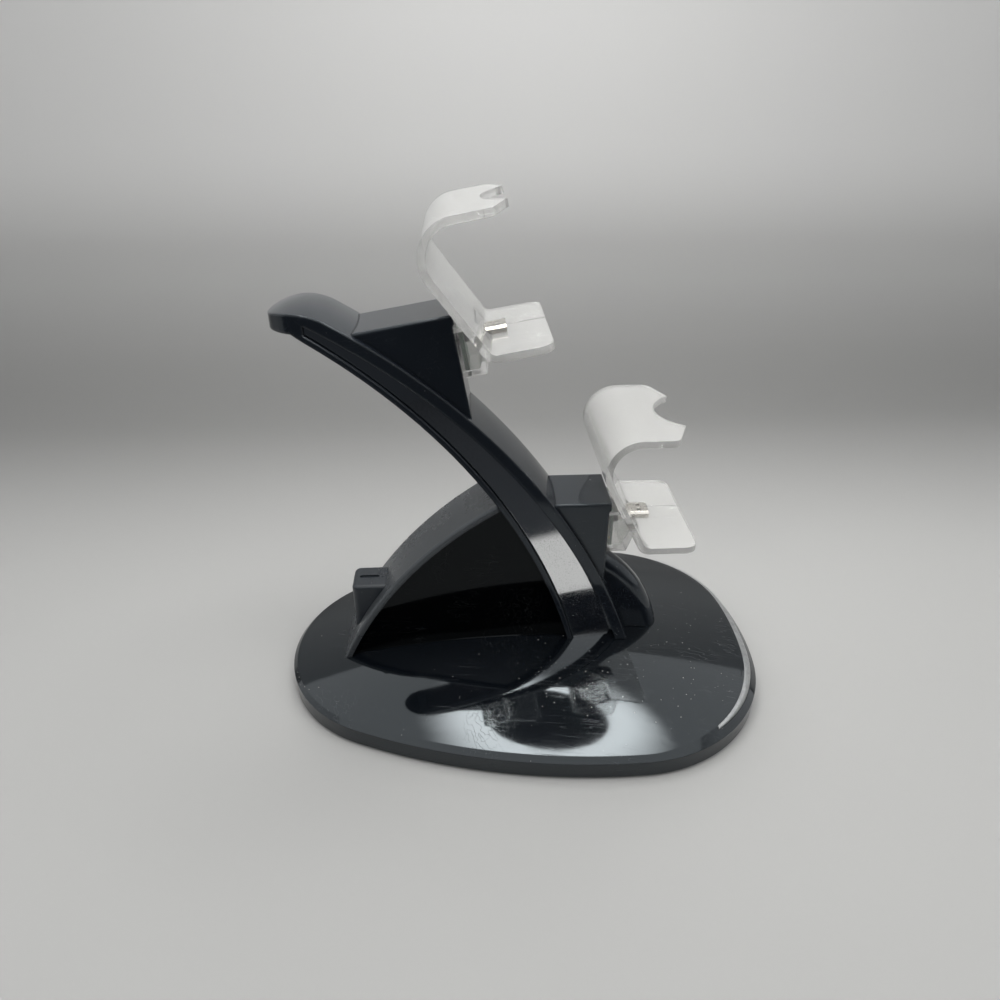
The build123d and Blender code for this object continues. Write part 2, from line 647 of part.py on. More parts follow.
def socket_block(play=0.0, depth=SOCKET_DEPTH):
    """The room that the inlet socket takes, from the housing's rear face forward."""
    return block(INLET_REAR_X, INLET_REAR_X + depth, -SOCKET_WIDTH / 2 - play, SOCKET_WIDTH / 2 + play,
                 SOCKET_HEIGHT - SOCKET_TALL / 2 - play, SOCKET_HEIGHT + SOCKET_TALL / 2 + play)


def inlet_housing():
    length = FIN_CENTRE[0] - INLET_REAR_X
    tower = block(INLET_REAR_X, INLET_REAR_X + length, -INLET_WIDTH / 2, INLET_WIDTH / 2, ARM_FOOT_Z, INLET_TOP)
    tower = fillet(tower.edges().filter_by(Axis.Z).group_by(Axis.X)[0], INLET_ROUND)
    tower = fillet(tower.faces().sort_by(Axis.Z)[-1].edges(), INLET_TOP_ROUND)
    tower -= slab(disc(FIN_CENTRE, FIN_RADIUS), FAR)
    groove_x = INLET_REAR_X + INLET_ROUND + INLET_GROOVE_LENGTH / 2
    groove = Pos(groove_x, 0, INLET_TOP) * SlotOverall(INLET_GROOVE_LENGTH, INLET_GROOVE_WIDTH)
    tower -= extrude(groove, INLET_GROOVE_DEPTH, both=True)
    return tower - BASE - socket_block(SOCKET_PLAY, INLET_HOLE_LENGTH)


def inlet_socket():
    hollow = Pos(-SOCKET_SHEET, 0, 0) * socket_block(-SOCKET_SHEET)
    return socket_block() - hollow


def inlet_tongue():
    back = INLET_REAR_X + SOCKET_DEPTH - SOCKET_SHEET
    return block(back - TONGUE_LENGTH, back, -TONGUE_WIDTH / 2, TONGUE_WIDTH / 2,
                 SOCKET_HEIGHT - TONGUE_THICKNESS / 2, SOCKET_HEIGHT + TONGUE_THICKNESS / 2)


# Leg and blocks

def block_form(height):
    """A block's outer form in its own frame, running back into the arm."""
    long = 2 * height
    outline = Polyline((-long, 0), (BLOCK_LIP, 0), (BLOCK_LIP, -BLOCK_LIP_HEIGHT),
                       (0, -BLOCK_LIP_HEIGHT - BLOCK_LIP), (0, -long), (-long, -long), close=True)
    return slab(side_face(outline), BLOCK_WIDTH)


def on_arm(shape):
    """What is left of a shape above the arm and the base."""
    return (shape - slab(arm_mid_disc(), FAR)) - ARM - BASE


def stand_block(station):
    outer = block_form(station.height)
    top = outer.faces().sort_by(Axis.Z)[-1]
    outer = fillet(top.edges().filter_by(Axis.X), BLOCK_EDGE_ROUND)
    inner = block(-2 * station.height, -BLOCK_WALL, -BLOCK_WIDTH / 2 + BLOCK_WALL, BLOCK_WIDTH / 2 - BLOCK_WALL,
                  -2 * station.height, -BLOCK_WALL)
    window = block(-2 * BLOCK_WALL, BLOCK_WALL, -BLOCK_WINDOW_WIDTH / 2, BLOCK_WINDOW_WIDTH / 2,
                   POCKET_BOTTOM + 2 * POCKET_WALL, POCKET_TOP - 2 * POCKET_WALL)
    return on_arm(station.place(outer - inner - window))


def front_leg():
    centre = arc_centre((LEG_TOP_X, LEG_TOP_Z), (LEG_TOE_X, LEG_TOE_Z), LEG_RADIUS)
    half = LEG_WIDTH / 2
    section = make_face(Polyline((LEG_CORE, -half), (LEG_RADIUS, -half), (LEG_RADIUS, half), (LEG_CORE, half),
                                 close=True))
    section = fillet(section.vertices().group_by(Axis.X)[-1], LEG_ROUND)
    wheel_body = Pos(centre[0], 0, centre[1]) * revolve(section, Axis.Y)
    quarter = slab(side_box(centre[0], FAR, ARM_FOOT_Z, FAR), FAR)
    return on_arm(wheel_body & quarter) - LOWER.place(block_form(LOWER.height))


# Cradles and plugs

def cradle_lines():
    """Driving points of the cradle's bent sheet."""
    lean = radians(CRADLE_LEAN)
    inner = HOOK_RADIUS - CRADLE_SHEET
    rise = CRADLE_GAP + CRADLE_SHEET - HOOK_RADIUS
    along = (rise - inner * sin(lean)) / cos(lean)
    centre = (CRADLE_FOLD_U - along * sin(lean) + inner * cos(lean), CRADLE_FOLD_W + rise)
    return lean, inner, centre


def wall_back(w):
    """How far forward the back of the leaning wall is at height w."""
    lean = radians(CRADLE_LEAN)
    return CRADLE_FOLD_U - (w - CRADLE_FOLD_W) * tan(lean) - CRADLE_SHEET / cos(lean)


def cradle_sheet():
    """The bent sheet seen from the side: tray, leaning wall and hook."""
    lean, inner, centre = cradle_lines()
    tip = CRADLE_FOLD_U + TRAY_LENGTH
    prong = CRADLE_FOLD_U + HOOK_PRONG_REACH
    under = CRADLE_FOLD_W - CRADLE_SHEET

    def on_hook(radius, turn):
        return centre[0] - radius * cos(turn), centre[1] - radius * sin(turn)

    middle = (lean - radians(90)) / 2
    top = -radians(90)
    edges = [Line((tip, CRADLE_FOLD_W), (CRADLE_FOLD_U, CRADLE_FOLD_W)),
             Line((CRADLE_FOLD_U, CRADLE_FOLD_W), on_hook(inner, lean)),
             ThreePointArc(on_hook(inner, lean), on_hook(inner, middle), on_hook(inner, top)),
             Line(on_hook(inner, top), (prong, centre[1] + inner)),
             Line((prong, centre[1] + inner), (prong, centre[1] + HOOK_RADIUS)),
             Line((prong, centre[1] + HOOK_RADIUS), on_hook(HOOK_RADIUS, top)),
             ThreePointArc(on_hook(HOOK_RADIUS, top), on_hook(HOOK_RADIUS, middle), on_hook(HOOK_RADIUS, lean)),
             Line(on_hook(HOOK_RADIUS, lean), (wall_back(under), under)),
             Line((wall_back(under), under), (tip, under)),
             Line((tip, under), (tip, CRADLE_FOLD_W))]
    face = make_face(edges)
    folds = face.vertices().sort_by_distance((CRADLE_FOLD_U, CRADLE_FOLD_W))[0:1]
    face = fillet(folds, CRADLE_FOLD_ROUND)
    heel = face.vertices().sort_by_distance((wall_back(under), under))[0:1]
    face = fillet(heel, CRADLE_FOLD_ROUND + CRADLE_SHEET)
    return Plane.XZ * face


def cradle_outline():
    """The room inside the cradle's plan: a notched hook above, a round-cornered tray below."""
    half = CRADLE_WIDTH / 2
    side = CRADLE_FOLD_U + HOOK_SIDE_REACH
    prong = CRADLE_FOLD_U + HOOK_PRONG_REACH
    spread = HOOK_PRONG_SPREAD / 2
    hook = make_face(Polyline((-FAR, -half), (side, -half), (prong, -spread), (prong, spread), (side, half),
                              (-FAR, half), close=True))
    corners = hook.vertices().group_by(Axis.X)[1]
    hook = fillet(corners, HOOK_CORNER)
    notch_radius = (spread ** 2 + HOOK_NOTCH_DEPTH ** 2) / (2 * HOOK_NOTCH_DEPTH)
    hook -= Pos(prong - HOOK_NOTCH_DEPTH + notch_radius, 0) * Circle(notch_radius)
    tip = CRADLE_FOLD_U + TRAY_LENGTH
    tray = make_face(Polyline((-FAR, -half), (tip, -half), (tip, half), (-FAR, half), close=True))
    tray = fillet(tray.vertices().group_by(Axis.X)[-1], TRAY_CORNER)
    upper = extrude(Pos(0, 0, HOOK_SPLIT_W) * hook, FAR)
    lower = extrude(Pos(0, 0, HOOK_SPLIT_W) * tray, -FAR)
    return upper + lower


def pocket_face(wall=0.0):
    """The pocket behind the wall, seen from the side, drawn in by its own wall."""
    under = CRADLE_FOLD_W - CRADLE_SHEET / 2
    front = wall_back(under) + CRADLE_SHEET
    back = 0 if wall == 0 else -OVERCUT
    outline = Polyline((back, POCKET_TOP - wall),
                       (wall_back(POCKET_TOP) + CRADLE_SHEET / 2 - wall, POCKET_TOP - wall),
                       (front - wall, under),
                       (POCKET_TOE - wall, POCKET_BOTTOM + wall),
                       (back, POCKET_BOTTOM + wall), close=True)
    return side_face(outline)


PLUG_W = CRADLE_FOLD_W + PLUG_RISE


def plug_section(grow=0.0):
    """The plug's end view in the YZ plane: narrow above, wide below."""
    half = PLUG_WIDTH / 2 + grow
    top = PLUG_TOP_WIDTH / 2 + grow
    tall = PLUG_TALL / 2 + grow
    shoulder = PLUG_W + PLUG_SHOULDER
    outline = Polyline((-half, PLUG_W - tall), (half, PLUG_W - tall), (half, shoulder),
                       (top, PLUG_W + tall), (-top, PLUG_W + tall), (-half, shoulder), close=True)
    return Plane.YZ * make_face(outline)


def plug_bar(start, end, grow=0.0):
    return Pos(start, 0, 0) * extrude(plug_section(grow), end - start)


def cradle_body():
    sheet = slab(cradle_sheet(), CRADLE_WIDTH) & cradle_outline()
    pocket = slab(pocket_face(), POCKET_WIDTH)
    room = slab(pocket_face(POCKET_WALL), POCKET_WIDTH - 2 * POCKET_WALL)
    return (sheet + (pocket - room)) - plug_bar(-FAR, FAR, PLUG_PLAY)


PLUG_BOARD_FRONT = PLUG_BOARD_U + BOARD_THICKNESS
COLLAR_FRONT = PLUG_BOARD_FRONT + COLLAR_LENGTH


def plug_shell():
    shell = plug_bar(COLLAR_FRONT - COLLAR_LENGTH / 2, PLUG_REACH) - plug_bar(-FAR, FAR, -PLUG_SHEET)
    front = PLUG_REACH - LATCH_SETBACK
    for y in (-LATCH_SPREAD / 2, LATCH_SPREAD / 2):
        shell -= block(front - LATCH_LENGTH, front, y - LATCH_WIDTH / 2, y + LATCH_WIDTH / 2, PLUG_W, FAR)
    return shell


def plug_core():
    return block(COLLAR_FRONT, PLUG_REACH - PLUG_CORE_SETBACK, -PLUG_CORE_WIDTH / 2, PLUG_CORE_WIDTH / 2,
                 PLUG_W - PLUG_CORE_TALL / 2, PLUG_W + PLUG_CORE_TALL / 2)


def plug_collar():
    collar = block(PLUG_BOARD_FRONT, COLLAR_FRONT, -COLLAR_WIDTH / 2, COLLAR_WIDTH / 2,
                   PLUG_W - COLLAR_TALL / 2, PLUG_W + COLLAR_TALL / 2)
    return collar - plug_bar(COLLAR_FRONT - COLLAR_LENGTH / 2, FAR)


def plug_board():
    floor = POCKET_BOTTOM + POCKET_WALL
    return block(PLUG_BOARD_U, PLUG_BOARD_FRONT, -PLUG_BOARD_WIDTH / 2, PLUG_BOARD_WIDTH / 2,
                 floor, POCKET_TOP - POCKET_WALL - COVER_GAP)


# Leads

def lead_ribbon(play=0.0):
    """The side view of the leads in the arm, just above its lower cover, from the main board up."""
    low = ARM_UNDER_RADIUS + UNDER_COVER_THICKNESS + LEAD_PLAY
    band = disc(UNDER_CENTRE, low + LEAD_THICKNESS + play) - disc(UNDER_CENTRE, low - play)
    return band & side_box(ARM_TIP_X, FAR, MAIN_BOARD_TOP - play, FAR)


def arm_lead(station, y):
    """A flat lead from the main board up the arm, through a block and on to its plug's board."""
    y0, y1 = y - LEAD_WIDTH / 2, y + LEAD_WIDTH / 2
    ribbon = slab(lead_ribbon(), LEAD_WIDTH, y)
    turn_top = LEAD_TURN_W + LEAD_THICKNESS
    ribbon &= station.place(block(-FAR, FAR, -FAR, FAR, -FAR, turn_top))
    run = block(-2 * station.height, LEAD_RISER_U + LEAD_THICKNESS, y0, y1, LEAD_TURN_W, turn_top)
    run += block(LEAD_RISER_U, LEAD_RISER_U + LEAD_THICKNESS, y0, y1, LEAD_TURN_W,
                 LEAD_END_W + LEAD_THICKNESS)
    run += block(LEAD_RISER_U, PLUG_BOARD_U, y0, y1, LEAD_END_W, LEAD_END_W + LEAD_THICKNESS)
    inside = disc(UNDER_CENTRE, ARM_UNDER_RADIUS + UNDER_COVER_THICKNESS + LEAD_PLAY)
    foot = block(MAIN_BOARD_FRONT - LEAD_LAP, FAR, y0, y1, MAIN_BOARD_TOP, MAIN_BOARD_TOP + LEAD_THICKNESS)
    foot &= slab(inside, FAR)
    return ribbon + (station.place(run) - slab(inside, FAR)) + foot


POWER_LEAD_X = INLET_REAR_X + SOCKET_DEPTH + POWER_LEAD_RUN


def power_lead_riser(play=0.0):
    half = LEAD_WIDTH / 2 + play
    return block(POWER_LEAD_X - play, POWER_LEAD_X + LEAD_THICKNESS + play, -half, half,
                 MAIN_BOARD_TOP, SOCKET_HEIGHT + LEAD_THICKNESS / 2)


def power_lead():
    """From the inlet socket through the fin's spine and down to the main board."""
    half = LEAD_WIDTH / 2
    run = block(INLET_REAR_X + SOCKET_DEPTH, POWER_LEAD_X + LEAD_THICKNESS, -half, half,
                SOCKET_HEIGHT - LEAD_THICKNESS / 2, SOCKET_HEIGHT + LEAD_THICKNESS / 2)
    foot = block(POWER_LEAD_X, MAIN_BOARD_REAR + LEAD_LAP, -half, half,
                 MAIN_BOARD_TOP, MAIN_BOARD_TOP + LEAD_THICKNESS)
    return run + power_lead_riser() + foot


def light_lead():
    """From the main board forward to the light board."""
    return block(MAIN_BOARD_FRONT - LEAD_LAP, LIGHT_BOARD_X, LIGHT_LEAD_Y - LEAD_WIDTH / 2,
                 LIGHT_LEAD_Y + LEAD_WIDTH / 2, MAIN_BOARD_TOP, MAIN_BOARD_TOP + LEAD_THICKNESS)


def pieces():
    """Every piece of the dock by its node name."""
    made = {
        "base_shell": base_shell(),
        "base_cover": base_cover(),
        "rubber_feet": rubber_feet(),
        "base_screws": base_screws(),
        "light_window": light_window(),
        "light_board": light_board(),
        "light_leds": light_leds(),
        "main_board": main_board(),
        "board_chips": board_chips(),
        "arm_shell": arm_shell(),
        "arm_under_cover": arm_under_cover(),
        "arm_trim_left": arm_trim(1),
        "arm_trim_right": arm_trim(-1),
        "fin_spine": fin_spine(),
        "fin_panel_left": fin_panel(1),
        "fin_panel_right": fin_panel(-1),
        "inlet_housing": inlet_housing(),
        "inlet_socket": inlet_socket(),
        "inlet_tongue": inlet_tongue(),
        "front_leg": front_leg(),
        "power_lead": power_lead(),
        "light_lead": light_lead(),
        "lower_lead": arm_lead(LOWER, -LEAD_OFFSET),
        "upper_lead": arm_lead(UPPER, LEAD_OFFSET),
    }
    cradle_set = {"cradle": cradle_body(), "plug_shell": plug_shell(), "plug_core": plug_core(),
                  "plug_collar": plug_collar(), "plug_board": plug_board()}
    for name, station in (("upper", UPPER), ("lower", LOWER)):
        made[name + "_block"] = stand_block(station)
        for piece, shape in cradle_set.items():
            made[name + "_" + piece] = station.place(shape)
    return made


os.makedirs("parts", exist_ok=True)
for node, shape in pieces().items():
    export_step(shape, "parts/" + node + ".step")
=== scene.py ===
"""Finishes and a photo stage for a two-place controller charging dock.

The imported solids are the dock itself. This file gives every solid its finish and builds a small photo
stage around it. Metres, +Z up, in the solids' own frame.
"""
from math import cos, pi, radians, sin

import bmesh
import bpy
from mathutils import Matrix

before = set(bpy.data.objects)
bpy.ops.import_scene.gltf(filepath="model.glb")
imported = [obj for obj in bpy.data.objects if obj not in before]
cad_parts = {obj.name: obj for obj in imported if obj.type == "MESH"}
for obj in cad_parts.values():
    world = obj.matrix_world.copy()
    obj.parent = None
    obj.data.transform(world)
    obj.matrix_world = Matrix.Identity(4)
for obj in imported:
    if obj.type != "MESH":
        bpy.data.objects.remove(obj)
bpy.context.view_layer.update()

bl_info = {
    "name": "Charging dock finishes",
    "version": (1, 0, 0),
    "blender": (4, 5, 0),
    "location": "View3D > Sidebar > Dock",
    "description": "Finishes and a photo stage for a two-place controller charging dock",
    "category": "Object",
}

MM = 0.001
GLOW_SPAN = (1.2, 2.2)         # where the lamp panel fades, in radii of its hole
FRONT_SPAN = (-0.25, -0.75)    # where the room turns dim, as Y of a direction
ABOVE_SPAN = (0.5, 0.8)        # the same upwards, as Z of a direction
PANEL_RINGS = (1.0, 2.0, 4.0)  # rings of the lamp panel's mesh, in radii of its hole


# Properties

def colour(name, description, default):
    return bpy.props.FloatVectorProperty(name=name, description=description, default=default,
                                         subtype="COLOR", size=3, min=0.0, max=1.0)


def share(name, description, default):
    return bpy.props.FloatProperty(name=name, description=description, default=default,
                                   subtype="FACTOR", min=0.0, max=1.0)


def distance(name, description, default):
    return bpy.props.FloatProperty(name=name, description=description, default=default,
                                   subtype="DISTANCE", unit="LENGTH")


def angle(name, description, degrees):
    return bpy.props.FloatProperty(name=name, description=description, default=radians(degrees),
                                   subtype="ANGLE", unit="ROTATION")


def power(name, description, default):
    return bpy.props.FloatProperty(name=name, description=description, default=default, min=0.0)


class DockFinish(bpy.types.PropertyGroup):
    """Colours and surface values of the dock's materials."""
    base_black: colour("Base black", "Polished plastic of the base", (0.0026, 0.0036, 0.0052))
    gloss_black: colour("Gloss black", "Polished plastic of the arm, blocks and leg", (0.0120, 0.0150, 0.0200))
    spine_black: colour("Spine black", "Satin plastic of the fin's spine", (0.050, 0.054, 0.059))
    # Painted shade: a darker copy of the arm's black for the fin's sides, which sit in shade and mirror the dark room.
    fin_shaded_black: colour("Deep black", "Polished plastic of the fin's sides", (0.0012, 0.0014, 0.0016))
    satin_black: colour("Satin black", "Moulded plastic of the inlet housing", (0.015, 0.020, 0.026))
    matt_black: colour("Matt black", "Grained plastic of the covers", (0.012, 0.012, 0.013))
    dust: colour("Dust", "Settled dust and lint", (0.33, 0.32, 0.30))
    chrome: colour("Chrome", "Bright trim strips", (0.86, 0.87, 0.88))
    silver: colour("Silver", "Metallised crescent in the front rim", (0.34, 0.35, 0.354))
    clear: colour("Clear plastic", "Cradle plastic", (1.0, 1.0, 0.985))
    nickel: colour("Nickel", "Plug shells and inlet socket", (0.62, 0.60, 0.56))
    board: colour("Board", "Solder mask of the circuit boards", (0.012, 0.085, 0.032))
    copper: colour("Copper", "Plated pads and tracks", (0.55, 0.40, 0.14))
    rubber: colour("Rubber", "Feet", (0.020, 0.020, 0.021))
    steel: colour("Steel", "Screws", (0.45, 0.45, 0.46))
    lamp: colour("Lamp", "Indicator lamp lenses", (0.85, 0.84, 0.74))
    dust_share: share("Dust amount", "How much of an upward face carries specks", 0.12)
    scratch_share: share("Scratch amount", "How strongly hairline scratches show", 0.6)
    edge_radius: distance("Edge radius", "Softened edge on moulded pieces", 0.35 * MM)
    arm_edge_radius: distance("Arm edge radius", "Softened edge on the arm, blocks and fin", 1.0 * MM)
    # Painted highlight: a paler, cool tone laid along the edges of the gloss plastic.
    painted_edge_highlight: colour("Worn edge", "Black plastic along its worn edges", (0.06, 0.063, 0.068))
    scratch: colour("Scratch", "Hairlines in black plastic", (0.30, 0.31, 0.32))
    clear_scratch: colour("Clear scratch", "Hairlines in the cradles", (0.8, 0.8, 0.79))
    bright_scratch: colour("Bright scratch", "Hairlines in the crescent", (0.9, 0.9, 0.9))
    gloss_tint: colour("Gloss tint", "Cool tone of the reflections in black plastic", (0.86, 0.95, 1.0))


class DockStage(bpy.types.PropertyGroup):
    """Sizes, colours and light of the stage, and the camera."""
    floor: colour("Floor", "Pale sheet under the dock", (0.40, 0.40, 0.394))
    # Painted light: the sheet turns to this paler tone high up, near the lamp.
    wall: colour("Wall", "Pale sheet high up behind the dock", (0.62, 0.62, 0.616))
    sides: colour("Sides", "Soft light from the sides", (0.80, 0.805, 0.81))
    front: colour("Front", "Dim room behind the camera", (0.014, 0.016, 0.019))
    above: colour("Above", "Dim room seen through the hole in the lamp panel", (0.12, 0.125, 0.13))
    back_y: distance("Back", "Where the sheet turns up behind the dock", 0.285)
    # Painted shade: beyond this edge the sheet fades to the dim room's colour.
    front_y: distance("Front edge", "Front edge of the pale sheet", -0.122)
    fade_y: distance("Front fade", "Length over which the sheet darkens beyond its front edge", 0.012)
    reach: distance("Reach", "How far the sheet runs to each side and to the front", 0.75)
    roof_z: distance("Roof", "Height of the lamp panel", 0.37)
    # Painted shade: the sheet darkens on the floor behind the dock and at the foot of the wall.
    foot_shade: share("Foot shade", "Tone of the sheet where it turns up, against the rest", 0.55)
    shade_start: distance("Shade start", "Where the floor starts to darken behind the dock", 0.03)
    shade_end: distance("Shade end", "Where the floor is darkest", 0.24)
    wall_z: distance("Wall height", "Height at which the wall has its own tone", 0.145)
    cove: distance("Cove", "Radius of the sheet's turn", 0.085)
    lamp_hole: distance("Lamp hole", "Radius of the hole in the lamp panel", 0.07)
    lamp_x: distance("Lamp X", "Middle of the lamp panel, along the dock", 0.02)
    lamp_y: distance("Lamp Y", "Middle of the lamp panel, across the dock", 0.035)
    lamp_power: power("Lamp strength", "Brightness of the panel beside its hole", 11.2)
    roof_power: power("Roof strength", "Brightness of the cloth far from the hole", 1.15)
    lens: bpy.props.FloatProperty(name="Lens", description="Focal length", default=27.04, unit="CAMERA")
    camera_x: distance("Camera X", "Camera place along the dock", -0.0182)
    camera_y: distance("Camera Y", "Camera place across the dock", -0.2012)
    camera_z: distance("Camera Z", "Camera height", 0.1777)
    pitch: angle("Pitch", "How far the camera looks down", 29.68)
    yaw: angle("Yaw", "How far the camera turns to the front of the dock", 2.99)


# Node helpers

def put(tree, kind, values=None, **settings):
    """Adds a node. A value that is a socket is linked to the input, any other is set on it."""
    made = tree.nodes.new(kind)
    for key, value in settings.items():
        setattr(made, key, value)
    for name, value in (values or {}).items():
        join(tree, value, made.inputs[name])
    return made


def join(tree, value, socket):
    if isinstance(value, bpy.types.NodeSocket):
        tree.links.new(value, socket)
    else:
        socket.default_value = value


def maths(tree, operation, *values, clamp=False):
    return put(tree, "ShaderNodeMath", dict(enumerate(values)), operation=operation, use_clamp=clamp).outputs[0]


def ramp(tree, value, low, high, to_low=0.0, to_high=1.0):
    """Maps low..high smoothly onto to_low..to_high."""
    made = put(tree, "ShaderNodeMapRange", {"Value": value, "From Min": low, "From Max": high,
                                            "To Min": to_low, "To Max": to_high}, interpolation_type="SMOOTHSTEP")
    return made.outputs[0]


def solid(rgb):
    return (*rgb, 1.0)


def mix(tree, factor, first, second):
    return put(tree, "ShaderNodeMix", {0: factor, 6: first, 7: second}, data_type="RGBA").outputs[2]


def places(tree):
    return tree.nodes.new("ShaderNodeTexCoord").outputs["Object"]


def noise(tree, where, scale, detail=2.0, rough=0.5):
    values = {"Vector": where, "Scale": scale, "Detail": detail, "Roughness": rough}
    return put(tree, "ShaderNodeTexNoise", values).outputs["Fac"]


def group(name, inputs, outputs):
    """Starts a node group and gives back its tree, its input sockets and its output sockets."""
    tree = bpy.data.node_groups.new(name, "ShaderNodeTree")
    for label, default in inputs.items():
        socket = tree.interface.new_socket(label, in_out="INPUT", socket_type="NodeSocketFloat")
        socket.default_value = default
    for label, kind in outputs.items():
        tree.interface.new_socket(label, in_out="OUTPUT", socket_type=kind)
    source = tree.nodes.new("NodeGroupInput")
    sink = tree.nodes.new("NodeGroupOutput")
    return tree, source.outputs, sink.inputs


def effect(tree, name, **values):
    """Places a shared effect in a material, with its own values."""
    made = tree.nodes.new("ShaderNodeGroup")
    made.node_tree = bpy.data.node_groups[name]
    for label, value in values.items():
        join(tree, value, made.inputs[label.replace("_", " ")])
    return made.outputs


# Shared effects

def settled_dust():
    """Specks and lint, thicker on faces that look up and in loose patches."""
    tree, source, sink = group("Settled dust", {"Amount": 0.2, "Cells": 1900.0}, {"Mask": "NodeSocketFloat"})
    where = places(tree)
    cells = put(tree, "ShaderNodeTexVoronoi", {"Vector": where, "Scale": source["Cells"]})
    chance = put(tree, "ShaderNodeSeparateColor", {"Color": cells.outputs["Color"]}).outputs
    size = maths(tree, "MULTIPLY", maths(tree, "POWER", chance[0], 4.0), 0.34)
    speck = maths(tree, "LESS_THAN", cells.outputs["Distance"], size)
    patch = ramp(tree, noise(tree, where, 28.0, 3.0), 0.35, 0.7)
    there = maths(tree, "LESS_THAN", chance[1], maths(tree, "MULTIPLY", patch, source["Amount"]))
    upright = put(tree, "ShaderNodeSeparateXYZ",
                  {"Vector": tree.nodes.new("ShaderNodeNewGeometry").outputs["Normal"]}).outputs["Z"]
    settle = ramp(tree, upright, -0.1, 0.8, 0.25, 1.0)
    film = maths(tree, "MULTIPLY", ramp(tree, noise(tree, where, 2600.0, 4.0, 0.7), 0.55, 0.9), 0.12)
    film = maths(tree, "MULTIPLY", film, maths(tree, "MULTIPLY", patch, source["Amount"]))
    mask = maths(tree, "ADD", maths(tree, "MULTIPLY", maths(tree, "MULTIPLY", speck, there), 0.8), film)
    tree.links.new(maths(tree, "MULTIPLY", mask, settle, clamp=True), sink["Mask"])


def hairlines():
    """Fine crossing scratches, gathered in patches."""
    tree, source, sink = group("Hairlines", {"Amount": 0.3, "Stretch": 0.035, "Scale": 600.0},
                               {"Mask": "NodeSocketFloat"})
    where = places(tree)
    patch = noise(tree, where, 45.0, 2.0)
    total = 0.0
    for turn, full in ((12.0, 0.72), (76.0, 0.3)):
        turned = put(tree, "ShaderNodeVectorRotate", {"Vector": where, "Axis": (0.25, 0.2, 1.0),
                                                      "Angle": radians(turn)}).outputs[0]
        squash = put(tree, "ShaderNodeCombineXYZ", {"X": source["Stretch"], "Y": 1.0, "Z": 1.0}).outputs[0]
        long = put(tree, "ShaderNodeVectorMath", {0: turned, 1: squash}, operation="MULTIPLY").outputs[0]
        bands = noise(tree, long, source["Scale"], 1.0)
        line = ramp(tree, maths(tree, "ABSOLUTE", maths(tree, "SUBTRACT", bands, 0.5)), 0.0, 0.012, 1.0, 0.0)
        spread = ramp(tree, patch, 0.5, full)
        total = maths(tree, "ADD", maths(tree, "MULTIPLY", line, spread), total)
    tree.links.new(maths(tree, "MULTIPLY", total, source["Amount"], clamp=True), sink["Mask"])


def soft_edge():
    """Normals rounded over an edge, and a mask of the edge itself."""
    tree, source, sink = group("Soft edge", {"Radius": 0.3 * MM},
                               {"Normal": "NodeSocketVector", "Mask": "NodeSocketFloat"})
    rounded = put(tree, "ShaderNodeBevel", {"Radius": source["Radius"]}, samples=4).outputs[0]
    flat = tree.nodes.new("ShaderNodeNewGeometry").outputs["Normal"]
    turn = put(tree, "ShaderNodeVectorMath", {0: rounded, 1: flat}, operation="DOT_PRODUCT").outputs["Value"]
    tree.links.new(rounded, sink["Normal"])
    tree.links.new(ramp(tree, turn, 0.98, 0.8), sink["Mask"])


def handling_haze():
    """Slow patches of grease and polish that vary the gloss."""
    tree, source, sink = group("Handling haze", {"Low": 0.1, "High": 0.2, "Scale": 60.0},
                               {"Roughness": "NodeSocketFloat"})
    where = places(tree)
    wide = noise(tree, where, source["Scale"], 3.0, 0.6)
    fine = noise(tree, where, maths(tree, "MULTIPLY", source["Scale"], 14.0), 2.0, 0.6)
    blend = maths(tree, "ADD", maths(tree, "MULTIPLY", wide, 0.75), maths(tree, "MULTIPLY", fine, 0.25))
    level = ramp(tree, blend, 0.34, 0.66)
    reach = maths(tree, "SUBTRACT", source["High"], source["Low"])
    tree.links.new(maths(tree, "MULTIPLY_ADD", level, reach, source["Low"]), sink["Roughness"])


def moulded_grain():
    """The fine pebbled grain of an unpolished mould."""
    tree, source, sink = group("Moulded grain", {"Scale": 2600.0}, {"Height": "NodeSocketFloat"})
    where = places(tree)
    cells = put(tree, "ShaderNodeTexVoronoi", {"Vector": where, "Scale": source["Scale"]}, feature="SMOOTH_F1")
    rough = noise(tree, where, maths(tree, "MULTIPLY", source["Scale"], 0.6), 3.0, 0.6)
    tree.links.new(maths(tree, "ADD", cells.outputs["Distance"], rough), sink["Height"])


# Materials

def material(name):
    made = bpy.data.materials.new(name)
    made.use_nodes = True
    return made, made.node_tree, made.node_tree.nodes["Principled BSDF"]


def relief(tree, shader, height, depth, normal=None):
    """Turns a height into the shader's normal."""
    values = {"Height": height, "Distance": depth, "Strength": 1.0}
    if normal is not None:
        values["Normal"] = normal
    tree.links.new(put(tree, "ShaderNodeBump", values).outputs[0], shader.inputs["Normal"])


